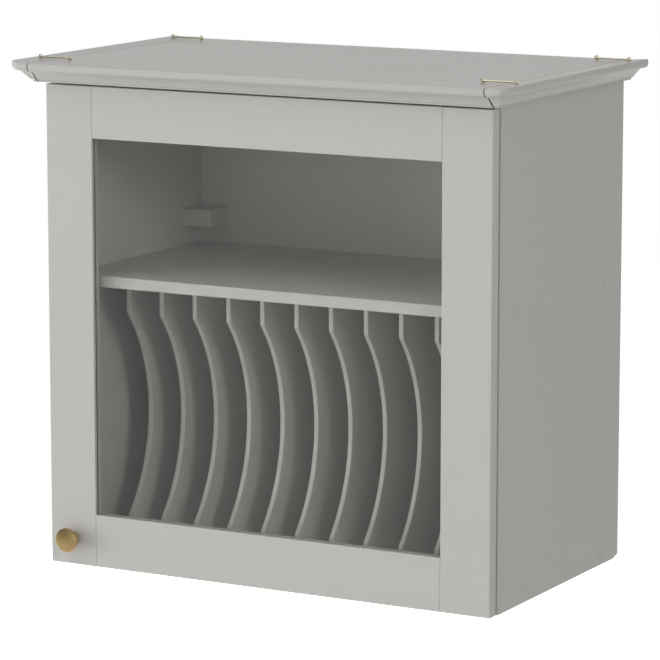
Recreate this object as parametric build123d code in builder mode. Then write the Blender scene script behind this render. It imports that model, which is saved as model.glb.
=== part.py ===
"""Kitchen wall cabinet: glazed frame door, shelf, plate rack and a three-board crown held by wire hooks.

Millimetres. X runs along the cabinet front, Y into the wall, Z up. The origin is level with the cabinet's
underside, in the middle of the rectangle that the crown covers.
"""

import os
from math import cos, radians, sin, sqrt, tan

from build123d import *

os.makedirs("parts", exist_ok=True)

# Carcass
carcass_width = 600
carcass_height = 590
carcass_depth = 335.5
panel = 18
back_thickness = 6
back_recess = 11.5
groove_depth = 8
groove_clearance = 0.15
back_edge_clearance = 0.5
heel_length = 14
heel_height = 4
arris = 0.8

# Shelf and plate rack
shelf_thickness = 14
shelf_top_z = 355.5
shelf_setback = 5
shelf_clearance = 0.15
divider_count = 11
divider_thickness = 6
divider_setback = 64
divider_groove = 4
divider_clearance = 0.15
arc_top_drop = 40.5
arc_bottom_z = 50
arc_sagitta = 49
kink_round = 5
divider_arris = 0.7

# Fastenings of the carcass
screw_head_radius = 4
screw_head_length = 2.5
screw_neck_radius = 3.4
screw_neck_length = 14
screw_thread_radius = 2.5
screw_thread_length = 30
cap_thickness = 2
shelf_cap_radius = 4.5
base_cap_radius = 7.5
front_row_setback = 34.5
rear_row_setback = 50
dowel_radius = 4
dowel_length = 30
dowel_in_side = 10
cam_radius = 7.5
cam_depth = 12.5
cam_reach = 24
cam_bolt_radius = 3
cam_bolt_in_side = 11
cam_thread_radius = 2.5
cam_row_offset = 32
cam_cross_length = 9
cam_cross_width = 2
cam_cross_depth = 1.5

# Door
door_side_reveal = 1.5
door_top_gap = 3
door_thickness = 16
door_gap = 2
stile_width = 64
top_rail_width = 62.5
bottom_rail_width = 64.5
front_lip = 4
rabbet_width = 8
glass_thickness = 4
glass_edge_gap = 1
bead_edge_gap = 0.2
bead_mitre_gap = 0.1
bead_round = 2.5
tenon_length = 14
tenon_thickness = 5
tenon_shoulder = 10
tenon_clearance = 0.1
joint_groove = 0.6
bumper_radius = 4.5
bumper_thickness = 1.6
bumper_inset = 12

# Knob
knob_radius = 15
knob_reach = 20
knob_neck_radius = 6
knob_base_radius = 8
knob_base_height = 1.6
knob_neck_height = 6
knob_rim = 3.2
knob_dome = 1.4
knob_edge_round = 0.5
knob_centre_z = 33
knob_screw_radius = 2
knob_screw_head_radius = 4
knob_screw_head_height = 1.4
knob_screw_bite = 9

# Concealed hinges on the right side, one link from the arm to the cup
hinge_inset = 90
cup_edge_distance = 22.5
cup_radius = 17.5
cup_depth = 12
cup_wall = 1.5
cup_floor = 1.2
flange_thickness = 1
flange_rim = 1
flange_height = 62
flange_reach = 25.5
flange_round = 6
cup_screw_spacing = 48
cup_screw_inset = 9.5
cup_screw_radius = 1.75
cup_screw_head_radius = 3.4
cup_screw_head_height = 0.7
cup_screw_length = 11
cup_pivot_edge = 13
cup_pivot_depth = 3.5
arm_pivot_inset = 30.5
arm_pivot_setback = 2.6
pivot_pin_radius = 1.5
pivot_clearance = 0.05
eye_radius = 3
link_thickness = 2.5
link_width = 14
link_bend = 4
link_bends = [(-7.2, -3.8), (-15.2, -0.9), (-23, 7.4)]
cheek_gap = 0.4
cheek = 2
arm_radius = 5
arm_inset = 14.5
arm_start_setback = 15
arm_end_setback = 56
arm_web = 2
plate_rail_start = 24
plate_rail_end = 58
plate_rail_clearance = 0.4
plate_setback = 37
plate_wing_thickness = 2
plate_wing_width = 15
plate_wing_height = 50
plate_wing_round = 4
plate_screw_spacing = 32
plate_screw_radius = 2
plate_screw_head_radius = 3.6
plate_screw_head_height = 1.6
plate_screw_length = 13
arm_screw_setback = 44
arm_screw_radius = 2.5
arm_screw_head_radius = 3.5
arm_screw_head_height = 1.6
arm_screw_length = 12

# Crown
crown_height = 24
crown_side_overhang = 8.1
crown_front_overhang = 10.2
moulding_width = 23.4
moulding_fillet = 2.8
cove_start_out = 2.8
cove_top_out = 13.4
cove_top_z = 13
cove_sagitta = 0.6
nose_flat_out = 17.8
nose_bottom_z = 13.6
nose_radius = 5.6
crown_corner_radius = 15
crown_joint_reach = 3
crown_joint_gap = 0.3
end_board_cant = 4
crown_top_round = 1.2
crown_dowel_radius = 3
crown_dowel_bite = 12
crown_dowel_drop = 8
crown_dowel_setback = 82
crown_dowel_clearance = 0.15
crown_dowel_end_gap = 1
crown_screw_setback = 60
crown_screw_radius = 2.25
crown_screw_head_radius = 4.5
crown_screw_bite = 14

# Wire hooks and screw eyes on the crown
wire_radius = 1
ring_radius = 2.2
ring_wire_radius = 0.7
eye_shank_length = 9
eye_spacing = 44
outer_eye_reach = 16
eye_height = 3.2
eye_catch_offset = 3.6
hook_tip_length = 2.4
front_hook_y = 50.5
back_hook_y = 28

# Wall fastening: brackets in the back corners, behind covers
cover_width = 40
cover_depth = 47
cover_height = 22
cover_wall = 1.6
cover_round = 3
cover_lift = 25
bracket_sheet = 2
bracket_inset = 4
bracket_round = 3
bracket_tongue_width = 12
bracket_tongue_reach = 8
bracket_tongue_neck = 4
bracket_tongue_drop = 8
bracket_slot_clearance = 0.5
bracket_screw_radius = 1.75
bracket_screw_head_radius = 3.4
bracket_screw_head_height = 1.4
bracket_screw_length = 12
bracket_screw_spacing = 24
pin_radius = 1.4
pin_stand = 0.8
pin_bite = 5
side_pin_setback = 98.7
side_pin_lift = 11.5
back_pin_inset = 27
back_pin_lift = 57.5

# Derived places of the carcass
crown_front_reach = crown_front_overhang + moulding_width
total_depth = crown_front_reach + door_thickness + door_gap + carcass_depth
wall_y = total_depth / 2
front_y = wall_y - carcass_depth
inner_width = carcass_width - 2 * panel
inner_x = inner_width / 2
back_rear_y = wall_y - back_recess
back_front_y = back_rear_y - back_thickness
back_mid_y = (back_front_y + back_rear_y) / 2
top_panel_z = carcass_height - panel
shelf_bottom_z = shelf_top_z - shelf_thickness
shelf_mid_z = shelf_bottom_z + shelf_thickness / 2
arc_top_z = shelf_bottom_z - arc_top_drop
cover_bottom_z = shelf_top_z + cover_lift
side_pin_z = shelf_top_z + side_pin_lift
back_pin_z = shelf_top_z + back_pin_lift
front_row_y = front_y + front_row_setback
rear_row_y = wall_y - rear_row_setback
screw_length = screw_head_length + screw_neck_length + screw_thread_length
screw_neck_end = screw_head_length + screw_neck_length
slot_pitch = inner_width / (divider_count + 1)
divider_front_y = front_y + divider_setback
divider_x = [slot_pitch * (number - divider_count / 2 - 0.5) for number in range(1, divider_count + 1)]
divider_groove_width = divider_thickness + 2 * divider_clearance
sides = (("left", -1), ("right", 1))

# Carcass screws run along X through the sides: shelf front and rear, base rear
screw_rows = [
    (front_row_y, shelf_mid_z, shelf_cap_radius),
    (rear_row_y, shelf_mid_z, shelf_cap_radius),
    (rear_row_y, panel / 2, base_cap_radius),
]
# Cam fittings and dowels hold the top, and the base at its front
cam_rows = [
    (front_row_y, carcass_height - panel / 2, 1),
    (rear_row_y, carcass_height - panel / 2, 1),
    (front_row_y, panel / 2, -1),
]
dowel_rows = [
    (front_row_y + cam_row_offset, carcass_height - panel / 2),
    (rear_row_y - cam_row_offset, carcass_height - panel / 2),
    (front_row_y + cam_row_offset, panel / 2),
    (rear_row_y - cam_row_offset, panel / 2),
]

# Derived sizes and places of the door
door_width = carcass_width - 2 * door_side_reveal
door_height = carcass_height - door_top_gap
door_back_y = front_y - door_gap
door_face_y = door_back_y - door_thickness
door_x = door_width / 2
stile_inner_x = door_x - stile_width
top_rail_z = door_height - top_rail_width
rabbet_x = stile_inner_x + rabbet_width
rabbet_bottom_z = bottom_rail_width - rabbet_width
rabbet_top_z = top_rail_z + rabbet_width
rabbet_mid_z = (rabbet_bottom_z + rabbet_top_z) / 2
rabbet_height = rabbet_top_z - rabbet_bottom_z
glass_front_y = door_face_y + front_lip
glass_back_y = glass_front_y + glass_thickness
tenon_mid_y = (glass_front_y + door_back_y) / 2
knob_x = -door_x + stile_width / 2

# Derived places of the hinges
hinge_heights = (("lower", hinge_inset), ("upper", door_height - hinge_inset))
cup_x = door_x - cup_edge_distance
cup_pivot_x = door_x - cup_pivot_edge
cup_pivot_y = door_back_y - cup_pivot_depth
arm_pivot_x = inner_x - arm_pivot_inset
arm_pivot_y = front_y + arm_pivot_setback
arm_x = inner_x - arm_inset
arm_half_width = link_width / 2 + cheek_gap + cheek
rail_half_width = link_width / 2 + cheek_gap - plate_rail_clearance

# Derived places of the crown
crown_top_z = carcass_height + crown_height
crown_side_x = carcass_width / 2 + crown_side_overhang
crown_front_soffit_y = door_face_y - crown_front_overhang
crown_front_y = crown_front_soffit_y - moulding_width
crown_joint_x = carcass_width / 2 + crown_joint_reach
end_board_x = crown_joint_x + crown_joint_gap
crown_corner_out = moulding_width - crown_corner_radius
crown_corner_x = crown_side_x + crown_corner_out
crown_corner_y = crown_front_soffit_y - crown_corner_out
crown_dowel_z = crown_top_z - crown_dowel_drop
crown_dowel_rise = crown_dowel_bite * tan(radians(end_board_cant))
crown_dowel_hole_radius = crown_dowel_radius + crown_dowel_rise + crown_dowel_clearance
hook_z = crown_top_z + eye_height
hook_rows = (("front", crown_front_y + front_hook_y), ("back", wall_y - back_hook_y))
outer_eye_x = crown_joint_x + outer_eye_reach
crown_board_run = wall_y - crown_front_soffit_y
crown_dowel_rows = (crown_front_y + crown_dowel_setback, wall_y - crown_dowel_setback)


def along_x(x, y, z, direction):
    """Plane at a point whose normal points along X, towards +X or -X."""
    return Plane(origin=(x, y, z), x_dir=(0, 1, 0), z_dir=(direction, 0, 0))


def along_y(x, y, z, direction):
    """Plane at a point whose normal points along Y, towards +Y or -Y."""
    return Plane(origin=(x, y, z), x_dir=(1, 0, 0), z_dir=(0, direction, 0))


def rod(plane, radius, length):
    """Plain round rod that starts on a plane and runs along its normal."""
    with BuildPart() as plain_rod:
        with BuildSketch(plane):
            Circle(radius)
        extrude(amount=length)
    return plain_rod.part


def headed_screw(plane, head_radius, head_height, radius, length):
    """Pan-head screw: the head stands on the plane, the pointed shank runs against its normal."""
    with BuildPart() as screw:
        with BuildSketch(Plane(origin=plane.origin, x_dir=plane.x_dir, z_dir=plane.x_dir.cross(plane.z_dir))):
            with BuildLine():
                Polyline(
                    (0, -length),
                    (radius, radius - length),
                    (radius, 0),
                    (head_radius, 0),
                    (head_radius, head_height / 2),
                    (head_radius - head_height / 2, head_height),
                    (0, head_height),
                    close=True,
                )
            make_face()
        revolve(axis=Axis(plane.origin, plane.z_dir))
    return screw.part


def board(x_span, y_span, z_span):
    """Square-cut board between two places along each axis."""
    with BuildPart() as plain_board:
        with BuildSketch(Plane.XY.offset(z_span[0])):
            with Locations(((x_span[0] + x_span[1]) / 2, (y_span[0] + y_span[1]) / 2)):
                Rectangle(x_span[1] - x_span[0], y_span[1] - y_span[0])
        extrude(amount=z_span[1] - z_span[0])
    return plain_board.part


# Carcass screws, driven through the sides into the shelf and the base
with BuildPart() as carcass_screws:
    for side, sign in sides:
        for y, z, cap_radius in screw_rows:
            head = along_x(sign * (carcass_width / 2 - cap_thickness), y, z, -sign)
            with BuildSketch(Plane(origin=head.origin, x_dir=(0, 1, 0), z_dir=(0, 0, sign))):
                with BuildLine():
                    Polyline(
                        (0, 0),
                        (screw_head_radius, 0),
                        (screw_head_radius, screw_head_length),
                        (screw_neck_radius, screw_head_length),
                        (screw_neck_radius, screw_neck_end),
                        (screw_thread_radius, screw_neck_end),
                        (screw_thread_radius, screw_length - screw_thread_radius),
                        (0, screw_length),
                        close=True,
                    )
                make_face()
            revolve(axis=Axis(head.origin, head.z_dir))
carcass_screws.part.label = "carcass_screws"
export_step(carcass_screws.part, "parts/carcass_screws.step")

# Round cover caps over the screw heads
with BuildPart() as screw_caps:
    for side, sign in sides:
        for y, z, cap_radius in screw_rows:
            seat = along_x(sign * (carcass_width / 2 - cap_thickness), y, z, sign)
            add(rod(seat, cap_radius, cap_thickness))
screw_caps.part.label = "screw_caps"
export_step(screw_caps.part, "parts/screw_caps.step")

# Beech dowels that line the top and base up with the sides
with BuildPart() as dowels:
    for side, sign in sides:
        for y, z in dowel_rows:
            start = along_x(sign * (inner_x + dowel_in_side), y, z, -sign)
            add(rod(start, dowel_radius, dowel_length))
dowels.part.label = "dowels"
export_step(dowels.part, "parts/dowels.step")

# Bolts that stand in the sides and reach into the cams
with BuildPart() as cam_bolts:
    for side, sign in sides:
        for y, z, facing in cam_rows:
            thread_end = along_x(sign * (inner_x + cam_bolt_in_side), y, z, -sign)
            add(rod(thread_end, cam_thread_radius, cam_bolt_in_side))
            add(rod(along_x(sign * inner_x, y, z, -sign), cam_bolt_radius, cam_reach))
cam_bolts.part.label = "cam_bolts"
export_step(cam_bolts.part, "parts/cam_bolts.step")

# Seats of the cams in the hidden faces of the top and base
with BuildPart() as cam_seats:
    for side, sign in sides:
        for y, z, facing in cam_rows:
            mouth_at = (sign * (inner_x - cam_reach), y, z + facing * panel / 2)
            mouth = Plane(origin=mouth_at, z_dir=(0, 0, -facing))
            add(rod(mouth, cam_radius, cam_depth))

# Cam housings with their cross recess, bored for the bolts
with BuildPart() as cam_locks:
    add(cam_seats.part)
    for side, sign in sides:
        for y, z, facing in cam_rows:
            mouth_at = (sign * (inner_x - cam_reach), y, z + facing * panel / 2)
            mouth = Plane(origin=mouth_at, z_dir=(0, 0, -facing))
            with BuildSketch(mouth):
                Rectangle(cam_cross_length, cam_cross_width)
                Rectangle(cam_cross_width, cam_cross_length)
            extrude(amount=cam_cross_depth, mode=Mode.SUBTRACT)
    add(cam_bolts.part, mode=Mode.SUBTRACT)
cam_locks.part.label = "cam_locks"
export_step(cam_locks.part, "parts/cam_locks.step")

# Screws of the hinge plates, driven into the right side, and the one that clamps each arm to its plate
with BuildPart() as hinge_screws:
    for level, z in hinge_heights:
        for offset in (-plate_screw_spacing / 2, plate_screw_spacing / 2):
            seat = along_x(inner_x - plate_wing_thickness, front_y + plate_setback, z + offset, -1)
            plate_screw_head = (plate_screw_head_radius, plate_screw_head_height)
            add(headed_screw(seat, *plate_screw_head, plate_screw_radius, plate_screw_length))
        seat = along_x(arm_x - arm_radius, front_y + arm_screw_setback, z, -1)
        arm_screw_head = (arm_screw_head_radius, arm_screw_head_height)
        add(headed_screw(seat, *arm_screw_head, arm_screw_radius, arm_screw_length))
hinge_screws.part.label = "hinge_screws"
export_step(hinge_screws.part, "parts/hinge_screws.step")

# Screws of the wall brackets
with BuildPart() as bracket_screws:
    for side, sign in sides:
        for offset in (-bracket_screw_spacing / 2, bracket_screw_spacing / 2):
            seat = along_x(
                sign * (inner_x - bracket_sheet),
                back_front_y - cover_depth / 2 + offset,
                cover_bottom_z + cover_height / 2,
                -sign,
            )
            bracket_screw_head = (bracket_screw_head_radius, bracket_screw_head_height)
            add(headed_screw(seat, *bracket_screw_head, bracket_screw_radius, bracket_screw_length))
bracket_screws.part.label = "bracket_screws"
export_step(bracket_screws.part, "parts/bracket_screws.step")

# Small bright pins in the sides and in the back near the brackets
with BuildPart() as locating_pins:
    for side, sign in sides:
        side_pin = along_x(sign * (inner_x - pin_stand), wall_y - side_pin_setback, side_pin_z, sign)
        add(rod(side_pin, pin_radius, pin_stand + pin_bite))
        back_pin = along_y(sign * (inner_x - back_pin_inset), back_front_y - pin_stand, back_pin_z, 1)
        add(rod(back_pin, pin_radius, pin_stand + pin_bite))
locating_pins.part.label = "locating_pins"
export_step(locating_pins.part, "parts/locating_pins.step")

# Carcass side panels, with the groove for the back and the cut heel at the wall
for side, sign in sides:
    with BuildPart() as side_panel:
        with BuildSketch(Plane.YZ.offset(sign * carcass_width / 2)):
            with BuildLine():
                Polyline(
                    (front_y, 0),
                    (wall_y - heel_length, 0),
                    (wall_y, heel_height),
                    (wall_y, carcass_height),
                    (front_y, carcass_height),
                    close=True,
                )
            make_face()
        extrude(amount=-sign * panel)
        front_edges = side_panel.edges().filter_by(Axis.Z).group_by(Axis.Y)[0]
        chamfer(front_edges, arris)
        with BuildSketch(Plane.YZ.offset(sign * inner_x)):
            with Locations((back_mid_y, carcass_height / 2)):
                Rectangle(back_thickness + 2 * groove_clearance, carcass_height - 2 * (panel - groove_depth))
        extrude(amount=sign * groove_depth, mode=Mode.SUBTRACT)
        for fastening in (carcass_screws, screw_caps, dowels, cam_bolts, bracket_screws, locating_pins):
            add(fastening.part, mode=Mode.SUBTRACT)
        if sign > 0:
            add(hinge_screws.part, mode=Mode.SUBTRACT)
    side_panel.part.label = f"{side}_side_panel"
    export_step(side_panel.part, f"parts/{side}_side_panel.step")

# Base, grooved for the back and the dividers
with BuildPart() as bottom_panel:
    with BuildSketch(Plane.XY):
        with Locations((0, (front_y + wall_y) / 2)):
            Rectangle(inner_width, carcass_depth)
    extrude(amount=panel)
    front_edges = bottom_panel.edges().filter_by(Axis.X).group_by(Axis.Y)[0]
    chamfer(front_edges, arris)
    with BuildSketch(Plane.XY.offset(panel)):
        with Locations((0, back_mid_y)):
            Rectangle(inner_width, back_thickness + 2 * groove_clearance)
    extrude(amount=-groove_depth, mode=Mode.SUBTRACT)
    with BuildSketch(Plane.XY.offset(panel)):
        with Locations(*[(x, (divider_front_y - divider_clearance + back_front_y) / 2) for x in divider_x]):
            Rectangle(divider_groove_width, back_front_y - divider_front_y + divider_clearance)
    extrude(amount=-divider_groove, mode=Mode.SUBTRACT)
    for fastening in (carcass_screws, dowels, cam_bolts, cam_seats):
        add(fastening.part, mode=Mode.SUBTRACT)
bottom_panel.part.label = "bottom_panel"
export_step(bottom_panel.part, "parts/bottom_panel.step")

# Shelf over the plate rack, grooved below for the dividers
with BuildPart() as shelf:
    shelf_front_y = front_y + shelf_setback
    shelf_rear_y = back_front_y - shelf_clearance
    with BuildSketch(Plane.XY.offset(shelf_bottom_z)):
        with Locations((0, (shelf_front_y + shelf_rear_y) / 2)):
            Rectangle(inner_width, shelf_rear_y - shelf_front_y)
    extrude(amount=shelf_thickness)
    front_edges = shelf.edges().filter_by(Axis.X).group_by(Axis.Y)[0]
    chamfer(front_edges, arris)
    with BuildSketch(Plane.XY.offset(shelf_bottom_z)):
        with Locations(*[(x, (divider_front_y - divider_clearance + shelf_rear_y) / 2) for x in divider_x]):
            Rectangle(divider_groove_width, shelf_rear_y - divider_front_y + divider_clearance)
    extrude(amount=divider_groove, mode=Mode.SUBTRACT)
    add(carcass_screws.part, mode=Mode.SUBTRACT)
shelf.part.label = "shelf"
export_step(shelf.part, "parts/shelf.step")

# Upright dividers of the plate rack, with their hollow front edge
for number, x in enumerate(divider_x, start=1):
    with BuildPart() as divider:
        with BuildSketch(Plane.YZ.offset(x - divider_thickness / 2)) as divider_outline:
            with BuildLine():
                base_z = panel - divider_groove + divider_clearance
                head_z = shelf_bottom_z + divider_groove - divider_clearance
                rear_y = back_front_y - divider_clearance
                Polyline((divider_front_y, arc_bottom_z), (divider_front_y, base_z), (rear_y, base_z))
                Polyline((rear_y, base_z), (rear_y, head_z), (divider_front_y, head_z))
                Line((divider_front_y, head_z), (divider_front_y, arc_top_z))
                SagittaArc((divider_front_y, arc_top_z), (divider_front_y, arc_bottom_z), arc_sagitta)
            make_face()
            kinks = [
                corner
                for corner in divider_outline.vertices()
                if abs(corner.Y - arc_top_z) < 1 or abs(corner.Y - arc_bottom_z) < 1
            ]
            fillet(kinks, kink_round)
        extrude(amount=divider_thickness)
        front_edges = [
            edge
            for edge in divider.edges()
            if edge.center().Y < divider_front_y + arc_sagitta + 1 and abs((edge @ 1 - edge @ 0).X) < 0.1
        ]
        chamfer(front_edges, divider_arris)
    divider.part.label = f"plate_divider_{number}"
    export_step(divider.part, f"parts/plate_divider_{number}.step")

# Screws from below the top panel into the crown
with BuildPart() as crown_screws:
    for side, sign in sides:
        for y in (front_y + crown_screw_setback, wall_y - crown_screw_setback):
            place = (sign * (inner_x - crown_screw_setback), y, top_panel_z)
            shank = panel + crown_screw_bite
            with BuildSketch(Plane(origin=place, x_dir=(1, 0, 0), z_dir=(0, -1, 0))):
                with BuildLine():
                    Polyline(
                        (0, 0),
                        (crown_screw_head_radius, 0),
                        (crown_screw_radius, crown_screw_head_radius - crown_screw_radius),
                        (crown_screw_radius, shank - crown_screw_radius),
                        (0, shank),
                        close=True,
                    )
                make_face()
            revolve(axis=Axis(place, (0, 0, 1)))
crown_screws.part.label = "crown_screws"
export_step(crown_screws.part, "parts/crown_screws.step")

# Top, grooved below for the back, under the crown
with BuildPart() as top_panel:
    with BuildSketch(Plane.XY.offset(top_panel_z)):
        with Locations((0, (front_y + wall_y) / 2)):
            Rectangle(inner_width, carcass_depth)
    extrude(amount=panel)
    front_edges = top_panel.edges().filter_by(Axis.X).group_by(Axis.Y)[0]
    chamfer(front_edges, arris)
    with BuildSketch(Plane.XY.offset(top_panel_z)):
        with Locations((0, back_mid_y)):
            Rectangle(inner_width, back_thickness + 2 * groove_clearance)
    extrude(amount=groove_depth, mode=Mode.SUBTRACT)
    for fastening in (dowels, cam_bolts, cam_seats, crown_screws):
        add(fastening.part, mode=Mode.SUBTRACT)
top_panel.part.label = "top_panel"
export_step(top_panel.part, "parts/top_panel.step")

# Back panel in its grooves, slotted for the bracket tongues
with BuildPart() as back_panel:
    with BuildSketch(Plane.XZ.offset(-back_front_y)):
        with Locations((0, carcass_height / 2)):
            Rectangle(
                inner_width + 2 * (groove_depth - back_edge_clearance),
                carcass_height - 2 * (panel - groove_depth + back_edge_clearance),
            )
    extrude(amount=-back_thickness)
    tongue_top_z = cover_bottom_z + cover_height / 2 + bracket_tongue_width / 2
    tongue_low_z = tongue_top_z - bracket_tongue_width - bracket_tongue_drop
    tongue_mid_z = (tongue_top_z + tongue_low_z) / 2
    with BuildSketch(Plane.XZ.offset(-back_front_y)):
        with Locations(*[(sign * (inner_x - bracket_sheet / 2), tongue_mid_z) for side, sign in sides]):
            Rectangle(
                bracket_sheet + 2 * bracket_slot_clearance,
                tongue_top_z - tongue_low_z + 2 * bracket_slot_clearance,
            )
    extrude(amount=-back_thickness, mode=Mode.SUBTRACT)
    add(locating_pins.part, mode=Mode.SUBTRACT)
back_panel.part.label = "back_panel"
export_step(back_panel.part, "parts/back_panel.step")

# Wall brackets: steel plates on the sides whose tongues hook over a rail behind the back panel
for side, sign in sides:
    with BuildPart() as wall_bracket:
        with BuildSketch(Plane.YZ.offset(sign * inner_x)) as bracket_outline:
            with BuildLine():
                plate_front_y = back_front_y - cover_depth + bracket_inset
                plate_low_z = cover_bottom_z + bracket_inset
                plate_top_z = cover_bottom_z + cover_height - bracket_inset
                plate_rear_y = back_front_y - bracket_slot_clearance
                tongue_y = back_rear_y + bracket_tongue_reach
                Polyline(
                    (plate_front_y, plate_low_z),
                    (plate_rear_y, plate_low_z),
                    (plate_rear_y, tongue_top_z - bracket_tongue_width),
                    (tongue_y - bracket_tongue_neck, tongue_top_z - bracket_tongue_width),
                    (tongue_y - bracket_tongue_neck, tongue_low_z),
                    (tongue_y, tongue_low_z),
                    (tongue_y, tongue_top_z),
                    (plate_rear_y, tongue_top_z),
                    (plate_rear_y, plate_top_z),
                    (plate_front_y, plate_top_z),
                    close=True,
                )
            make_face()
            fillet(bracket_outline.vertices().group_by(Axis.X)[0], bracket_round)
        extrude(amount=-sign * bracket_sheet)
        add(bracket_screws.part, mode=Mode.SUBTRACT)
    wall_bracket.part.label = f"{side}_wall_bracket"
    export_step(wall_bracket.part, f"parts/{side}_wall_bracket.step")

# Box covers over the brackets, open towards the side and the back
for side, sign in sides:
    with BuildPart() as bracket_cover:
        with BuildSketch(Plane.XY.offset(cover_bottom_z)):
            with Locations((sign * (inner_x - cover_width / 2), back_front_y - cover_depth / 2)):
                Rectangle(cover_width, cover_depth)
        extrude(amount=cover_height)
        free_edges = bracket_cover.edges().filter_by(Axis.Z).group_by(Axis.Y)[0]
        fillet(free_edges.sort_by(Axis.X)[0 if sign > 0 else -1], cover_round)
        with BuildSketch(Plane.XY.offset(cover_bottom_z + cover_wall)):
            with Locations(
                (
                    sign * (inner_x - (cover_width - cover_wall) / 2),
                    back_front_y - (cover_depth - cover_wall) / 2,
                )
            ):
                Rectangle(cover_width - cover_wall, cover_depth - cover_wall)
        extrude(amount=cover_height - 2 * cover_wall, mode=Mode.SUBTRACT)
    bracket_cover.part.label = f"{side}_bracket_cover"
    export_step(bracket_cover.part, f"parts/{side}_bracket_cover.step")


def crown_section(plane, start_out):
    """Moulded board section: out along the plane's X, up along its Y, kept from a given distance out."""
    with BuildSketch(plane) as section:
        with BuildLine():
            Polyline((-crown_board_run, 0), (0, 0), (0, moulding_fillet), (cove_start_out, moulding_fillet))
            SagittaArc((cove_start_out, moulding_fillet), (cove_top_out, cove_top_z), cove_sagitta)
            Line((cove_top_out, cove_top_z), (nose_flat_out, nose_bottom_z))
            nose_end = (nose_flat_out + nose_radius, nose_bottom_z + nose_radius)
            nose_turn = nose_radius * (1 - sqrt(0.5))
            ThreePointArc(
                (nose_flat_out, nose_bottom_z),
                (nose_end[0] - nose_turn, nose_bottom_z + nose_turn),
                nose_end,
            )
            round_turn = crown_top_round * (1 - sqrt(0.5))
            Line(nose_end, (nose_end[0], crown_height - crown_top_round))
            ThreePointArc(
                (nose_end[0], crown_height - crown_top_round),
                (nose_end[0] - round_turn, crown_height - round_turn),
                (nose_end[0] - crown_top_round, crown_height),
            )
            Polyline(
                (nose_end[0] - crown_top_round, crown_height),
                (-crown_board_run, crown_height),
                (-crown_board_run, 0),
            )
        make_face()
        with Locations(((start_out + moulding_width) / 2, crown_height / 2)):
            Rectangle(moulding_width - start_out, crown_height, mode=Mode.INTERSECT)
    return section.sketch


def front_section_plane(x):
    """Plane of the front moulding's section, facing -X."""
    return Plane(origin=(x, crown_front_soffit_y, carcass_height), x_dir=(0, -1, 0), z_dir=(-1, 0, 0))


# Dowels across the crown's two joints
with BuildPart() as crown_dowels:
    for side, sign in sides:
        for y in crown_dowel_rows:
            start = along_x(sign * (crown_joint_x - crown_dowel_bite), y, crown_dowel_z, sign)
            add(rod(start, crown_dowel_radius, 2 * crown_dowel_bite))
crown_dowels.part.label = "crown_dowels"
export_step(crown_dowels.part, "parts/crown_dowels.step")

# Screw eyes: at each joint a pivot eye at the right and a catch eye at the left, front and back
with BuildPart() as screw_eyes:
    for side, sign in sides:
        for row, y in hook_rows:
            pair_x = sign * (outer_eye_x - eye_spacing / 2)
            for x, eye_y in ((pair_x + eye_spacing / 2, y), (pair_x - eye_spacing / 2, y + eye_catch_offset)):
                with Locations((x, eye_y, hook_z)):
                    Torus(ring_radius, ring_wire_radius, rotation=(90, 0, 0))
                neck = Plane(origin=(x, eye_y, hook_z - ring_radius), z_dir=(0, 0, -1))
                add(rod(neck, ring_wire_radius, eye_height - ring_radius + eye_shank_length))
screw_eyes.part.label = "screw_eyes"
export_step(screw_eyes.part, "parts/screw_eyes.step")

# Crown board over the cabinet, moulded along its front
with BuildPart() as crown_centre_board:
    extrude(crown_section(front_section_plane(crown_joint_x), -crown_board_run), amount=2 * crown_joint_x)
    for fitting in (crown_dowels, crown_screws, screw_eyes):
        add(fitting.part, mode=Mode.SUBTRACT)
crown_centre_board.part.label = "crown_centre_board"
export_step(crown_centre_board.part, "parts/crown_centre_board.step")

# Right end of the crown before it is canted: both mouldings meet in a corner rounded in plan
with BuildPart() as level_end_board:
    end_x = crown_side_x + moulding_width
    extrude(crown_section(front_section_plane(end_x), -crown_board_run), amount=end_x - end_board_x)
    side_plane = Plane(origin=(crown_side_x, wall_y, carcass_height), x_dir=(1, 0, 0), z_dir=(0, -1, 0))
    side_start = end_board_x - crown_side_x
    extrude(crown_section(side_plane, side_start), amount=total_depth, mode=Mode.INTERSECT)
    with BuildSketch(Plane.XY.offset(carcass_height)):
        with Locations((crown_corner_x, crown_corner_y)):
            Rectangle(
                crown_corner_radius,
                crown_corner_radius,
                align=(Align.MIN, Align.MAX),
            )
    extrude(amount=crown_height, mode=Mode.SUBTRACT)
    revolve(
        crown_section(front_section_plane(crown_corner_x), crown_corner_out),
        axis=Axis((crown_corner_x, crown_corner_y, carcass_height), (0, 0, 1)),
        revolution_arc=90,
    )
    for y in crown_dowel_rows:
        mouth = along_x(crown_joint_x, y, crown_dowel_z, 1)
        add(
            rod(mouth, crown_dowel_hole_radius, crown_dowel_bite + crown_dowel_end_gap),
            mode=Mode.SUBTRACT,
        )

# Crown ends, canted up about the top edge of their joints
for side, sign in sides:
    with BuildPart() as crown_end_board:
        hinge_line = Axis((end_board_x, 0, crown_top_z), (0, 1, 0))
        add(level_end_board.part.rotate(hinge_line, -end_board_cant))
        if sign < 0:
            mirror(about=Plane.YZ, mode=Mode.REPLACE)
        add(screw_eyes.part, mode=Mode.SUBTRACT)
    crown_end_board.part.label = f"crown_{side}_board"
    export_step(crown_end_board.part, f"parts/crown_{side}_board.step")

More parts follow.
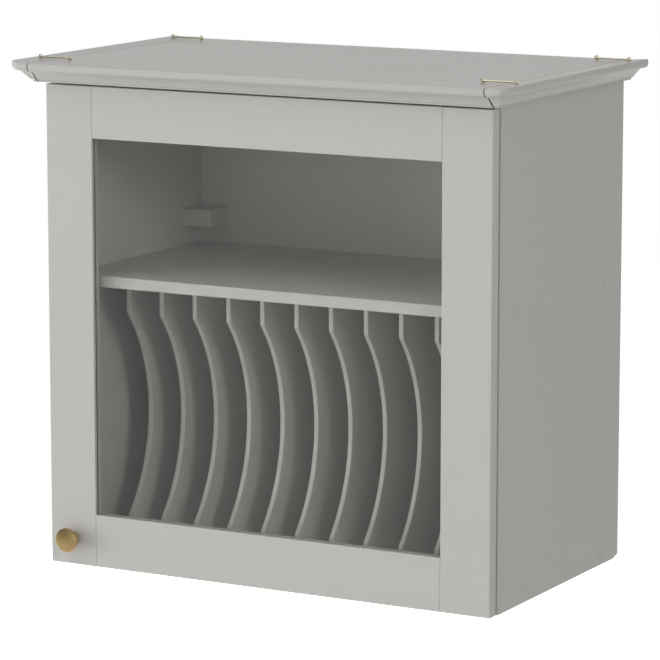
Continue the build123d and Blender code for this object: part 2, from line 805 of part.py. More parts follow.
# Wire hooks: a closed loop through the pivot eye, a straight shank and a tip bent through the catch eye
for side, sign in sides:
    for row, y in hook_rows:
        pivot_x = sign * (outer_eye_x - eye_spacing / 2) + eye_spacing / 2
        catch_x = pivot_x - eye_spacing
        with BuildPart() as hook:
            with Locations((pivot_x - ring_radius, y, hook_z)):
                Torus(ring_radius, wire_radius)
            with BuildLine() as shank:
                FilletPolyline(
                    (pivot_x - 2 * ring_radius, y, hook_z),
                    (catch_x, y, hook_z),
                    (catch_x, y + eye_catch_offset + hook_tip_length, hook_z),
                    radius=ring_radius,
                )
            with BuildSketch(along_x(pivot_x - 2 * ring_radius, y, hook_z, -1)):
                Circle(wire_radius)
            sweep(path=shank.line)
        hook.part.label = f"hook_{row}_{side}"
        export_step(hook.part, f"parts/hook_{row}_{side}.step")

# Screws of the hinge cups
with BuildPart() as cup_screws:
    for level, z in hinge_heights:
        for offset in (-cup_screw_spacing / 2, cup_screw_spacing / 2):
            seat = along_y(cup_x - cup_screw_inset, door_back_y + flange_thickness, z + offset, 1)
            cup_screw_head = (cup_screw_head_radius, cup_screw_head_height)
            add(headed_screw(seat, *cup_screw_head, cup_screw_radius, cup_screw_length))
cup_screws.part.label = "cup_screws"
export_step(cup_screws.part, "parts/cup_screws.step")

# Hinge cups, let into the right stile under an oval flange, with the pin that the link turns on
for level, z in hinge_heights:
    with BuildPart() as cup_pin:
        pin_start = Plane(origin=(cup_pivot_x, cup_pivot_y, z - cup_radius), z_dir=(0, 0, 1))
        add(rod(pin_start, pivot_pin_radius, 2 * cup_radius))
        with BuildSketch(along_y(cup_x, door_back_y, z, -1)):
            Circle(cup_radius - cup_wall / 2)
        extrude(amount=cup_depth, mode=Mode.INTERSECT)
    with BuildPart() as hinge_cup:
        with BuildSketch(along_y(cup_x, door_back_y, z, 1)):
            with Locations((-flange_reach / 2, 0)):
                RectangleRounded(flange_reach, flange_height, flange_round)
            Circle(cup_radius + flange_rim)
        extrude(amount=flange_thickness)
        add(rod(along_y(cup_x, door_back_y, z, -1), cup_radius, cup_depth))
        hollow = along_y(cup_x, door_back_y + flange_thickness, z, -1)
        add(
            rod(hollow, cup_radius - cup_wall, flange_thickness + cup_depth - cup_floor),
            mode=Mode.SUBTRACT,
        )
        add(cup_screws.part, mode=Mode.SUBTRACT)
        add(cup_pin.part)
    hinge_cup.part.label = f"{level}_hinge_cup"
    export_step(hinge_cup.part, f"parts/{level}_hinge_cup.step")

# Hinge links, cranked so that they clear the cup's rim when the door is open and when it is closed
for level, z in hinge_heights:
    with BuildPart() as hinge_link:
        link_plane = Plane(origin=(cup_pivot_x, cup_pivot_y, z), z_dir=(0, 0, 1))
        arm_end = (arm_pivot_x - cup_pivot_x, arm_pivot_y - cup_pivot_y)
        with BuildLine() as crank:
            FilletPolyline((0, 0), *link_bends, arm_end, radius=link_bend)
        with BuildSketch(link_plane):
            trace(crank.line, link_thickness)
            with Locations((0, 0), arm_end):
                Circle(eye_radius)
                Circle(pivot_pin_radius + pivot_clearance, mode=Mode.SUBTRACT)
        extrude(amount=link_width / 2, both=True)
    hinge_link.part.label = f"{level}_hinge_link"
    export_step(hinge_link.part, f"parts/{level}_hinge_link.step")

# Hinge arms: two cheeks round the link's eye, joined by a web that clips over the plate's rail
for level, z in hinge_heights:
    with BuildPart() as hinge_arm:
        start_y = front_y + arm_start_setback
        end_y = front_y + arm_end_setback
        for cheek_z in (z - arm_half_width, z + arm_half_width - cheek):
            with BuildSketch(Plane.XY.offset(cheek_z)):
                with Locations((arm_pivot_x, arm_pivot_y)):
                    Circle(eye_radius)
                with Locations((arm_x, start_y)):
                    Circle(arm_radius)
                make_hull()
            extrude(amount=cheek)
            with BuildSketch(Plane.XY.offset(cheek_z)):
                with Locations((arm_x, start_y), (arm_x, end_y)):
                    Circle(arm_radius)
                make_hull()
            extrude(amount=cheek)
        with BuildSketch(Plane.XY.offset(z - arm_half_width)):
            with Locations((arm_x - arm_radius + arm_web / 2, (start_y + end_y) / 2)):
                Rectangle(arm_web, end_y - start_y)
        extrude(amount=2 * arm_half_width)
        add(hinge_screws.part, mode=Mode.SUBTRACT)
        pin_start = Plane(origin=(arm_pivot_x, arm_pivot_y, z - arm_half_width), z_dir=(0, 0, 1))
        add(rod(pin_start, pivot_pin_radius, 2 * arm_half_width))
    hinge_arm.part.label = f"{level}_hinge_arm"
    export_step(hinge_arm.part, f"parts/{level}_hinge_arm.step")

# Mounting plates of the hinges: a rail inside the arm on a pair of screwed wings
with BuildPart() as hinge_plates:
    for level, z in hinge_heights:
        rail_x = arm_x - arm_radius + arm_web
        with BuildSketch(Plane.XY.offset(z - rail_half_width)):
            with Locations(((rail_x + inner_x) / 2, front_y + (plate_rail_start + plate_rail_end) / 2)):
                Rectangle(inner_x - rail_x, plate_rail_end - plate_rail_start)
        extrude(amount=2 * rail_half_width)
        with BuildSketch(along_x(inner_x, front_y + plate_setback, z, -1)):
            RectangleRounded(plate_wing_width, plate_wing_height, plate_wing_round)
        extrude(amount=plate_wing_thickness)
    add(hinge_screws.part, mode=Mode.SUBTRACT)
hinge_plates.part.label = "hinge_plates"
export_step(hinge_plates.part, "parts/hinge_plates.step")

# Knob screw, from the back of the left stile
with BuildPart() as knob_screw:
    seat = along_y(knob_x, door_back_y, knob_centre_z, 1)
    knob_screw_head = (knob_screw_head_radius, knob_screw_head_height)
    add(headed_screw(seat, *knob_screw_head, knob_screw_radius, door_thickness + knob_screw_bite))
knob_screw.part.label = "knob_screw"
export_step(knob_screw.part, "parts/knob_screw.step")

# Turned knob: a waisted stem under a flat disc with a low dome
with BuildPart() as knob:
    turned = Plane(origin=(knob_x, door_face_y, knob_centre_z), x_dir=(1, 0, 0), z_dir=(0, 0, -1))
    rim_back = knob_reach - knob_dome - knob_rim
    rim_front = knob_reach - knob_dome
    with BuildSketch(turned) as turning:
        with BuildLine():
            Polyline((0, 0), (knob_base_radius, 0), (knob_base_radius, knob_base_height))
            neck = (knob_neck_radius, knob_neck_height)
            TangentArc((knob_base_radius, knob_base_height), neck, tangent=(0, 1), tangent_from_first=False)
            TangentArc(neck, (knob_radius, rim_back), tangent=(0, 1))
            Line((knob_radius, rim_back), (knob_radius, rim_front))
            dome_radius = (knob_radius**2 + knob_dome**2) / (2 * knob_dome)
            dome_half = knob_radius / 2
            dome_drop = dome_radius - sqrt(dome_radius**2 - dome_half**2)
            ThreePointArc((knob_radius, rim_front), (dome_half, knob_reach - dome_drop), (0, knob_reach))
            Line((0, knob_reach), (0, 0))
        make_face()
        rim_corners = [corner for corner in turning.vertices() if corner.X > knob_radius - 1]
        fillet(rim_corners, knob_edge_round)
    revolve(axis=Axis((knob_x, door_face_y, knob_centre_z), (0, 1, 0)))
    add(knob_screw.part, mode=Mode.SUBTRACT)
knob.part.label = "knob"
export_step(knob.part, "parts/knob.step")

# Door stiles, full height, rabbeted for the glass and mortised for the rails
for side, sign in sides:
    with BuildPart() as stile:
        outer, inner, deep = sign * door_x, sign * stile_inner_x, sign * rabbet_x
        add(board(sorted((outer, inner)), (door_face_y, door_back_y), (0, door_height)))
        face_edges = stile.faces().sort_by(Axis.Y)[0].edges()
        chamfer(face_edges, joint_groove)
        add(
            board(sorted((inner, deep)), (glass_front_y, door_back_y), (rabbet_bottom_z, rabbet_top_z)),
            mode=Mode.SUBTRACT,
        )
        for rail_span in ((0, bottom_rail_width), (top_rail_z, door_height)):
            mortise_end = inner + sign * (tenon_length + tenon_clearance)
            add(
                board(
                    sorted((inner, mortise_end)),
                    (
                        tenon_mid_y - tenon_thickness / 2 - tenon_clearance,
                        tenon_mid_y + tenon_thickness / 2 + tenon_clearance,
                    ),
                    (
                        rail_span[0] + tenon_shoulder - tenon_clearance,
                        rail_span[1] - tenon_shoulder + tenon_clearance,
                    ),
                ),
                mode=Mode.SUBTRACT,
            )
        if sign < 0:
            add(knob_screw.part, mode=Mode.SUBTRACT)
        else:
            for level, z in hinge_heights:
                add(rod(along_y(cup_x, door_back_y, z, -1), cup_radius, cup_depth), mode=Mode.SUBTRACT)
            add(cup_screws.part, mode=Mode.SUBTRACT)
    stile.part.label = f"door_{side}_stile"
    export_step(stile.part, f"parts/door_{side}_stile.step")

# Door rails between the stiles, tenoned at both ends
for place, rail_span, rabbet_span in (
    ("bottom", (0, bottom_rail_width), (rabbet_bottom_z, bottom_rail_width)),
    ("top", (top_rail_z, door_height), (top_rail_z, rabbet_top_z)),
):
    with BuildPart() as rail:
        add(board((-stile_inner_x, stile_inner_x), (door_face_y, door_back_y), rail_span))
        face_edges = rail.faces().sort_by(Axis.Y)[0].edges()
        chamfer(face_edges, joint_groove)
        add(
            board(
                (-stile_inner_x - tenon_length, stile_inner_x + tenon_length),
                (tenon_mid_y - tenon_thickness / 2, tenon_mid_y + tenon_thickness / 2),
                (rail_span[0] + tenon_shoulder, rail_span[1] - tenon_shoulder),
            )
        )
        add(
            board((-stile_inner_x, stile_inner_x), (glass_front_y, door_back_y), rabbet_span),
            mode=Mode.SUBTRACT,
        )
    rail.part.label = f"door_{place}_rail"
    export_step(rail.part, f"parts/door_{place}_rail.step")

# Glass pane behind the lip
with BuildPart() as glass_pane:
    glass_x = rabbet_x - glass_edge_gap
    add(
        board(
            (-glass_x, glass_x),
            (glass_front_y, glass_back_y),
            (rabbet_bottom_z + glass_edge_gap, rabbet_top_z - glass_edge_gap),
        )
    )
glass_pane.part.label = "glass_pane"
export_step(glass_pane.part, "parts/glass_pane.step")

# Glazing beads behind the glass, mitred at the corners and rounded towards the opening
for place, along, across in (
    ("bottom", rabbet_x, rabbet_height / 2),
    ("top", rabbet_x, rabbet_height / 2),
    ("left", rabbet_height / 2, rabbet_x),
    ("right", rabbet_height / 2, rabbet_x),
):
    with BuildPart() as bead:
        turn = radians({"bottom": 0, "right": 90, "top": 180, "left": 270}[place])
        lying = Plane(
            origin=(0, glass_back_y, rabbet_mid_z),
            x_dir=(cos(turn), 0, sin(turn)),
            z_dir=(0, -1, 0),
        )
        outer_along = along - bead_edge_gap - bead_mitre_gap
        inner_along = along - rabbet_width - bead_mitre_gap
        with BuildSketch(lying):
            with BuildLine():
                Polyline(
                    (-outer_along, bead_edge_gap - across),
                    (outer_along, bead_edge_gap - across),
                    (inner_along, rabbet_width - across),
                    (-inner_along, rabbet_width - across),
                    close=True,
                )
            make_face()
        extrude(amount=glass_back_y - door_back_y)
        back_edges = bead.faces().sort_by(Axis.Y)[-1].edges()
        middle = Vector(0, door_back_y, rabbet_mid_z)
        opening_edge = back_edges.sort_by(lambda edge: (edge.center() - middle).length)[0]
        fillet(opening_edge, bead_round)
    bead.part.label = f"glazing_bead_{place}"
    export_step(bead.part, f"parts/glazing_bead_{place}.step")

# Soft bumpers at the free corners of the door
with BuildPart() as door_bumpers:
    for z in (bumper_inset, door_height - bumper_inset):
        add(rod(along_y(-door_x + bumper_inset, door_back_y, z, 1), bumper_radius, bumper_thickness))
    fillet(door_bumpers.edges().group_by(Axis.Y)[-1], bumper_thickness / 2)
door_bumpers.part.label = "door_bumpers"
export_step(door_bumpers.part, "parts/door_bumpers.step")
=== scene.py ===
"""Finishes, screws and studio for a glazed kitchen wall cabinet with a plate rack."""

from math import cos, radians, sin

import bpy
from bpy.props import FloatProperty, FloatVectorProperty, PointerProperty
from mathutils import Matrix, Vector


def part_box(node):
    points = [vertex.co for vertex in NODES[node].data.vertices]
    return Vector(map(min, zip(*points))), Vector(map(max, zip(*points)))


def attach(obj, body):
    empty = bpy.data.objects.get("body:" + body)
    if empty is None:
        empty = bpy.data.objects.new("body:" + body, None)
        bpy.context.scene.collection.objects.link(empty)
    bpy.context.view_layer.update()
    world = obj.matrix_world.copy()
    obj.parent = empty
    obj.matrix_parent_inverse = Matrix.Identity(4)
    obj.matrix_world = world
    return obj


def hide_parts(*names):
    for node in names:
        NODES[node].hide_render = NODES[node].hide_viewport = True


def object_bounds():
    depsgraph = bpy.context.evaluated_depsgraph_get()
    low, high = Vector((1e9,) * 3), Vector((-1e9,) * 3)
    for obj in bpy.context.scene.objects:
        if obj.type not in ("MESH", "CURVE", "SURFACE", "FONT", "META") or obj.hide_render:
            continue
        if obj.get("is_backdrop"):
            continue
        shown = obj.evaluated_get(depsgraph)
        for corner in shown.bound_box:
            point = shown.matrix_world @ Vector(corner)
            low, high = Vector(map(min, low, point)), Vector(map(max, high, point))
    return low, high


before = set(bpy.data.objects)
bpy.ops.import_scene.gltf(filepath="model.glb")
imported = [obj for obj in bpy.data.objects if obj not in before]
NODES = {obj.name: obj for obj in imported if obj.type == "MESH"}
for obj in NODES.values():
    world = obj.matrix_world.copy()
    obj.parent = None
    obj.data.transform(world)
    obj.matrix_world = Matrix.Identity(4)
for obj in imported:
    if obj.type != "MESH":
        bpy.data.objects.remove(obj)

bl_info = {
    "name": "Glazed wall cabinet",
    "version": (1, 0, 0),
    "blender": (4, 5, 0),
    "location": "3D View > Sidebar > Cabinet",
    "description": "Paint, glass, metal and screws for a wall cabinet, with a plain studio",
    "category": "Object",
}

WHITE = (1, 1, 1, 1)

# Patterns of the finishes, in spots or rings to the metre
PAINT_DRIFT = 9.0
PAINT_SPECK = 900.0
LATHE_RINGS = 9000.0
BRASS_STAIN = 120.0
PLASTIC_GRAIN = 1800.0
BEECH_GRAIN = (40, 900, 900)
PAD_CLOUD = 400.0
FLOOR_SPECK = 60.0

# Height of the relief on the finishes
BRASS_RELIEF = 0.000012
METAL_RELIEF = 0.00002
PLASTIC_RELIEF = 0.00003
BEECH_RELIEF = 0.00004

# Metals: spots of their mottle to the metre, and how much rougher they are than plain satin
HINGE_PLATING = (260.0, -0.06)
PRESSED_STEEL = (300.0, 0.08)
PLAIN_STEEL = (700.0, 0.0)
CAST_ZINC = (900.0, 0.15)
DRAWN_WIRE = (1200.0, -0.18)

# Painted shade in the crown's open joints, where their shadow falls: where its core ends and where it
# has faded, as shares of its width, and its light against the paint's
LINE_CORE = 0.4
LINE_FADE = 0.6
JOINT_PAINTED_SHADE = 0.3

# Turned pieces: sides of their circles, and the edges that are shaded smooth or rounded
KNOB_SIDES = 72
SCREW_SIDES = 32
SMOOTH_ANGLE = radians(30)
SHARP_ANGLE = radians(35)
# Rings of the knob's domed face, as shares of its radius
DOME_RINGS = (0.85, 0.7, 0.5, 0.3, 0.1)

# Cross-head screws: rounding of the head in its heights, length of the point in shank radii, tip as a
# share of the shank, reach of the recess over the head, and its foot as a share of its mouth
HEAD_ROUND = 0.6
POINT_LENGTH = 2
TIP = 0.1
RECESS_REACH = 1.1
RECESS_FOOT = 0.5

# The ways that faces look, and that screw heads face
UP, DOWN = 1, -1
RIGHTWARDS, LEFTWARDS = (1, 0, 0), (-1, 0, 0)
BACKWARDS = (0, 1, 0)
DOWNWARDS = (0, 0, -1)

# Studio: the floor's size, the two Y between which it grows white for shiny surfaces, and those of a
# direction where the dim room in front ends and the white one behind starts
FLOOR_SIZE = 90
FLOOR_FRONT, FLOOR_BEHIND = -3.0, 0.5
ROOM_FRONT, ROOM_BEHIND = -0.35, 0.35


def colour(name, description, default):
    """A colour that a user can set."""
    return FloatVectorProperty(
        name=name, description=description, subtype="COLOR", size=3, min=0, max=1, default=default
    )


def share(name, description, default):
    """A number between none and all."""
    return FloatProperty(
        name=name, description=description, subtype="FACTOR", min=0, max=1, default=default
    )


def length(name, description, default):
    """A length in metres."""
    return FloatProperty(
        name=name, description=description, subtype="DISTANCE", unit="LENGTH", min=0, precision=5,
        default=default,
    )


def power(name, description, default):
    """A lamp's power in watts."""
    return FloatProperty(name=name, description=description, unit="POWER", min=0, default=default)


class PaintSettings(bpy.types.PropertyGroup):
    """The satin paint on the boards."""

    carcass: colour("Carcass", "Paint of the sides, top and base", (0.520, 0.509, 0.482))
    rack: colour("Rack", "Paint of the shelf and the plate dividers", (0.520, 0.509, 0.482))
    back: colour("Back", "Paint of the thin back board", (0.500, 0.489, 0.463))
    # Lighter than the carcass's, though it is the same paint: painted light for the well-lit front
    door: colour("Door", "Paint of the door frame and its beads", (0.545, 0.534, 0.506))
    crown: colour("Crown", "Paint of the crown boards", (0.530, 0.519, 0.492))
    caps: colour("Caps", "Plastic of the screw caps and bracket covers", (0.490, 0.480, 0.455))
    gloss_loss: share("Roughness", "How matt the paint is", 0.42)
    peel_size: length("Peel size", "Distance between the fine ripples of the paint", 0.0022)
    peel_depth: length("Peel depth", "Height of the ripples", 0.00003)
    # The dark line is painted shade, for the shadow in the crown's open joints
    joint_shade: length("Joint shade", "Width of the dark line in the crown's joints", 0.0014)


class MetalSettings(bpy.types.PropertyGroup):
    """Brass, steel, zinc and wire."""

    brass: colour("Brass", "Satin brass of the knob", (0.480, 0.345, 0.160))
    steel: colour("Steel", "Plated steel of the hinges and screws", (0.600, 0.595, 0.575))
    zinc: colour("Zinc", "Die-cast zinc of the cams", (0.420, 0.420, 0.405))
    wire: colour("Wire", "Plated wire of the hooks and eyes", (0.740, 0.690, 0.500))
    brushed: share("Roughness", "How satin the metal is", 0.3)


class GlassSettings(bpy.types.PropertyGroup):
    """The flat pane."""

    tint: colour("Tint", "Colour that the glass gives to what is behind it", (0.912, 0.916, 0.907))


class KnobSettings(bpy.types.PropertyGroup):
    """The turned knob, from the door outwards."""

    foot: length("Foot", "Radius of the foot on the door", 0.0075)
    foot_height: length("Foot height", "Height of the foot", 0.0014)
    neck: length("Neck", "Radius of the neck where it is thinnest", 0.0055)
    neck_height: length("Neck height", "Where the neck is thinnest", 0.006)
    disc: length("Disc", "Radius of the disc", 0.015)
    rim: length("Rim", "Thickness of the disc's rim", 0.0032)
    dome: length("Dome", "How much the disc's face rises in the middle", 0.0014)
    edge_round: length("Edge round", "Radius of the disc's front edge", 0.0015)
    back_round: length("Back round", "Width that is taken off the other edges", 0.0004)


class ScrewSettings(bpy.types.PropertyGroup):
    """The screws that show: their heads, shanks and cross recesses."""

    cup_head: length("Cup screw head", "Radius of a hinge cup screw's head", 0.0034)
    cup_rise: length("Cup screw rise", "Height of a hinge cup screw's head", 0.0007)
    cup_length: length("Cup screw length", "Shank of a hinge cup screw", 0.011)
    cup_spacing: length("Cup screw spacing", "Between the two screws of a hinge cup", 0.048)
    plate_head: length("Plate screw head", "Radius of a hinge plate screw's head", 0.0036)
    plate_length: length("Plate screw length", "Shank of a hinge plate screw", 0.013)
    plate_spacing: length("Plate screw spacing", "Between the two screws of a plate", 0.032)
    arm_head: length("Arm screw head", "Radius of the screw that clamps a hinge arm", 0.0035)
    arm_length: length("Arm screw length", "Shank of the screw that clamps a hinge arm", 0.012)
    knob_head: length("Knob screw head", "Radius of the knob screw's head", 0.004)
    bracket_head: length("Bracket screw head", "Radius of a bracket screw's head", 0.0034)
    bracket_length: length("Bracket screw length", "Shank of a bracket screw", 0.012)
    crown_head: length("Crown screw head", "Radius of a sunk crown screw's head", 0.0045)
    thin_shank: length("Thin shank", "Radius of the cup and bracket screws' shanks", 0.00175)
    plain_shank: length("Plain shank", "Radius of the plate and knob screws' shanks", 0.002)
    thick_shank: length("Thick shank", "Radius of the arm and crown screws' shanks", 0.00225)
    pan_rise: length("Hinge screw rise", "Height of the heads of the hinge plate screws", 0.0016)
    low_rise: length("Low screw rise", "Height of the knob and bracket screws' heads", 0.0014)
    slot_width: length("Recess slot", "Width of each slot of a cross recess", 0.0009)
    slot_depth: length("Recess depth", "How deep a cross recess goes", 0.0012)


class StudioSettings(bpy.types.PropertyGroup):
    """Lamps, room, floor and camera."""

    graze: power("Left lamp", "Power of the wide lamp far out on the left", 115)
    wash: power("Front left lamp", "Power of the wide lamp at the front left", 100)
    front: power("Front lamp", "Power of the wide lamp in front", 40)
    key: power("Small lamp", "Power of the small lamp at the front right", 17)
    rear: power("Rear lamp", "Power of the wide lamp behind, on the left", 140)
    top: power("Top lamp", "Power of the lamp above the front", 15)
    room: share("Room light", "Even light from the room", 0.30)
    behind: share("Room behind", "Brightness that shiny surfaces find behind the cabinet", 1.0)
    gloss: share("Room in front", "Brightness that shiny surfaces find in front of it", 0.24)
    floor_drop: length("Floor drop", "How far the floor lies below the hung cabinet", 1.4)
    floor_lift: share("Floor lift", "What makes the floor look white", 0.75)
    lens: FloatProperty(
        name="Lens", description="Focal length of the camera", subtype="DISTANCE_CAMERA",
        default=196.87,
    )
    camera_place: FloatVectorProperty(
        name="Camera place",
        description="Where the camera stands",
        subtype="TRANSLATION",
        unit="LENGTH",
        default=(2.07217, -3.78135, 1.03031),
    )
    camera_turn: FloatVectorProperty(
        name="Camera turn",
        description="How the camera is turned",
        subtype="EULER",
        unit="ROTATION",
        default=(radians(80.23), 0, radians(28.696)),
    )


class Wire:
    """A node's output that can be used in plain arithmetic."""

    def __init__(self, finish, socket):
        self.finish = finish
        self.socket = socket

    def maths(self, operation, first, second):
        return self.finish.node("ShaderNodeMath", {0: first, 1: second}, operation=operation)

    def __add__(self, other):
        return self.maths("ADD", self, other)

    def __radd__(self, other):
        return self.maths("ADD", other, self)

    def __sub__(self, other):
        return self.maths("SUBTRACT", self, other)

    def __rsub__(self, other):
        return self.maths("SUBTRACT", other, self)

    def __mul__(self, other):
        return self.maths("MULTIPLY", self, other)

    def __rmul__(self, other):
        return self.maths("MULTIPLY", other, self)

    def __abs__(self):
        return self.finish.node("ShaderNodeMath", {0: self}, operation="ABSOLUTE")


class Finish:
    """A node tree, with the one method that adds its nodes and short names for those used often."""

    def __init__(self, tree):
        self.tree = tree
        tree.nodes.clear()

    def node(self, kind, inputs, out=0, **settings):
        made = self.tree.nodes.new(kind)
        for name, value in settings.items():
            setattr(made, name, value)
        for name, value in inputs.items():
            if isinstance(value, Wire):
                self.tree.links.new(value.socket, made.inputs[name])
            else:
                made.inputs[name].default_value = value
        return Wire(self, made.outputs[out]) if made.outputs else None

    def noise(self, place, scale, detail):
        """Soft random spots on a place."""
        return self.node("ShaderNodeTexNoise", {"Vector": place, "Scale": scale, "Detail": detail})

    def bump(self, height, distance):
        """The normal of a surface that rises with a pattern."""
        return self.node("ShaderNodeBump", {"Height": height, "Strength": 1.0, "Distance": distance})

    def mix(self, factor, first, second):
        """One colour towards another."""
        return self.node("ShaderNodeMix", {0: factor, 6: first, 7: second}, out=2, data_type="RGBA")

    def tones(self, spots, shade, darkest, lightest):
        """A colour that a pattern makes darker and lighter."""
        return self.mix(spots, opaque(shade, darkest), opaque(shade, lightest))

    def ramp(self, value, start, end, first, last):
        """A number that goes from first to last while a value goes from start to end."""
        return self.node("ShaderNodeMapRange", {
            "Value": value, "From Min": start, "From Max": end, "To Min": first, "To Max": last,
        })

    def along(self, place, axis):
        """How far a place or a direction goes along an axis."""
        return self.node("ShaderNodeSeparateXYZ", {"Vector": place}, out=axis)

    def ray(self, fact):
        """A fact about the ray that meets the surface."""
        return self.node("ShaderNodeLightPath", {}, out=fact)


def opaque(shade, light=1.0):
    """A stored colour as a socket wants it, made lighter or darker."""
    return (shade[0] * light, shade[1] * light, shade[2] * light, 1.0)


def uneven(rough, spots, below, spread):
    """A roughness that starts below its set value and rises with a pattern."""
    return rough - below + spots * spread


def new_finish(name):
    """An empty material, its finish, and a point of the object on which patterns are laid."""
    material = bpy.data.materials.new(name)
    material.use_nodes = True
    finish = Finish(material.node_tree)
    return material, finish, finish.node("ShaderNodeTexCoord", {}, out="Object")


def show(finish, **sockets):
    """Ends a material with its surface."""
    inputs = {name.replace("_", " "): value for name, value in sockets.items()}
    surface = finish.node("ShaderNodeBsdfPrincipled", inputs)
    finish.node("ShaderNodeOutputMaterial", {"Surface": surface})


def painted_board(name, paint, shade, duller=0.0, joint=None):
    """Satin paint: soft drift in tone and gloss, and a fine ripple.

    A joint, if there is one, is how far it lies from the middle on each side. Painted shade darkens
    the paint in it, for the shadow in the open gap.
    """
    material, finish, place = new_finish(name)
    drift = finish.noise(place, PAINT_DRIFT, detail=3.0)
    speck = finish.noise(place, PAINT_SPECK, detail=2.0)
    ripple = finish.noise(place, 1 / paint.peel_size, detail=3.0)
    tone = finish.tones(drift * 0.75 + speck * 0.25, shade, darkest=0.965, lightest=1.03)
    # Painted shade: a dark line where the crown's open joints hold their shadow
    if joint:
        gap = abs(abs(finish.along(place, "X")) - joint)
        core, fade = paint.joint_shade * LINE_CORE, paint.joint_shade * LINE_FADE
        tone = finish.mix(finish.ramp(gap, core, fade, 1.0, 0.0), tone, opaque(shade, JOINT_PAINTED_SHADE))
    show(
        finish,
        Base_Color=tone,
        Roughness=uneven(paint.gloss_loss + duller, drift, below=0.06, spread=0.12),
        Normal=finish.bump(ripple, paint.peel_depth),
        IOR=1.45,
    )
    return material


def turned_brass(name, shade, rough):
    """Satin brass turned on a lathe: fine rings round the knob's axis, along Y."""
    material, finish, place = new_finish(name)
    low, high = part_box("knob")
    middle = (low + high) / 2
    shift = (-middle.x, 0, -middle.z)
    centred = finish.node("ShaderNodeMapping", {"Vector": place, "Location": shift})
    flat = finish.node("ShaderNodeVectorMath", {0: centred, 1: (1, 0, 1)}, operation="MULTIPLY")
    radius = finish.node("ShaderNodeVectorMath", {0: flat}, out="Value", operation="LENGTH")
    ring = finish.node(
        "ShaderNodeTexNoise", {"W": radius * LATHE_RINGS, "Detail": 2.0}, noise_dimensions="1D"
    )
    stain = finish.noise(place, BRASS_STAIN, detail=3.0)
    show(
        finish,
        Base_Color=finish.tones(ring * 0.6 + stain * 0.4, shade, darkest=0.86, lightest=1.1),
        Metallic=1.0,
        Roughness=uneven(rough, ring, below=0.0, spread=0.08),
        Normal=finish.bump(ring, BRASS_RELIEF),
    )
    return material


def plated_metal(name, shade, satin, grain, duller):
    """Plated or cast metal with a faint mottle."""
    material, finish, place = new_finish(name)
    mottle = finish.noise(place, grain, detail=3.0)
    show(
        finish,
        Base_Color=finish.tones(mottle, shade, darkest=0.85, lightest=1.1),
        Metallic=1.0,
        Roughness=uneven(satin + duller, mottle, below=0.05, spread=0.12),
        Normal=finish.bump(mottle, METAL_RELIEF),
    )
    return material


def moulded_plastic(name, shade, rough):
    """Moulded plastic with a fine spark-eroded grain."""
    material, finish, place = new_finish(name)
    grain = finish.noise(place, PLASTIC_GRAIN, detail=2.0)
    show(
        finish,
        Base_Color=finish.tones(grain, shade, darkest=0.95, lightest=1.04),
        Roughness=uneven(rough, grain, below=0.05, spread=0.1),
        Normal=finish.bump(grain, PLASTIC_RELIEF),
    )
    return material


def bare_beech(name, dark, light, rough):
    """Beech with long grain along X and short dark flecks."""
    material, finish, place = new_finish(name)
    drawn = finish.node("ShaderNodeMapping", {"Vector": place, "Scale": BEECH_GRAIN})
    grain = finish.noise(drawn, 1.0, detail=4.0)
    show(
        finish,
        Base_Color=finish.mix(grain, opaque(dark), opaque(light)),
        Roughness=uneven(rough, grain, below=0.0, spread=0.1),
        Normal=finish.bump(grain, BEECH_RELIEF),
    )
    return material


def clear_pane(name, tint):
    """Flat glass that lets the lamps through to what stands behind it."""
    material, finish, _ = new_finish(name)
    glass = finish.node("ShaderNodeBsdfPrincipled", {
        "Base Color": opaque(tint),
        "Roughness": 0.0,
        "IOR": 1.5,
        "Transmission Weight": 1.0,
    })
    open_way = finish.node("ShaderNodeBsdfTransparent", {"Color": opaque(tint)})
    pane = finish.node("ShaderNodeMixShader", {0: finish.ray("Is Shadow Ray"), 1: glass, 2: open_way})
    finish.node("ShaderNodeOutputMaterial", {"Surface": pane})
    return material


def soft_rubber(name, dark, light, rough):
    """Small cloudy pads."""
    material, finish, place = new_finish(name)
    cloud = finish.noise(place, PAD_CLOUD, detail=2.0)
    show(
        finish,
        Base_Color=finish.mix(cloud, opaque(dark), opaque(light)),
        Roughness=uneven(rough, cloud, below=0.0, spread=0.15),
    )
    return material


def dress(material, *names):
    """Gives CAD nodes a material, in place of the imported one."""
    for name in names:
        for slot in NODES[name].material_slots:
            slot.material = material


def named(*starts):
    """CAD nodes whose names start so."""
    return [name for name in sorted(NODES) if name.startswith(starts)]


class CABINET_OT_paint_carcass(bpy.types.Operator):
    """Paint the sides, the top, the base and the back"""

    bl_idname = "cabinet.paint_carcass"
    bl_label = "Paint carcass"

    def execute(self, context):
        paint = context.scene.cabinet_paint
        board = painted_board("carcass_satin_paint", paint, paint.carcass)
        dress(board, "left_side_panel", "right_side_panel", "top_panel", "bottom_panel")
        dress(painted_board("back_board_paint", paint, paint.back, duller=0.06), "back_panel")
        return {"FINISHED"}


class CABINET_OT_paint_rack(bpy.types.Operator):
    """Paint the shelf and the plate dividers"""

    bl_idname = "cabinet.paint_rack"
    bl_label = "Paint rack"

    def execute(self, context):
        paint = context.scene.cabinet_paint
        board = painted_board("rack_satin_paint", paint, paint.rack)
        dress(board, "shelf", *named("plate_divider"))
        return {"FINISHED"}


class CABINET_OT_paint_crown(bpy.types.Operator):
    """Paint the three boards of the crown"""

    bl_idname = "cabinet.paint_crown"
    bl_label = "Paint crown"

    def execute(self, context):
        paint = context.scene.cabinet_paint
        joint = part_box("crown_centre_board")[1].x
        # The crown's paint carries painted shade along its open joints
        board = painted_board("crown_paint_with_painted_joint_shade", paint, paint.crown, joint=joint)
        dress(board, "crown_left_board", "crown_centre_board", "crown_right_board")
        return {"FINISHED"}


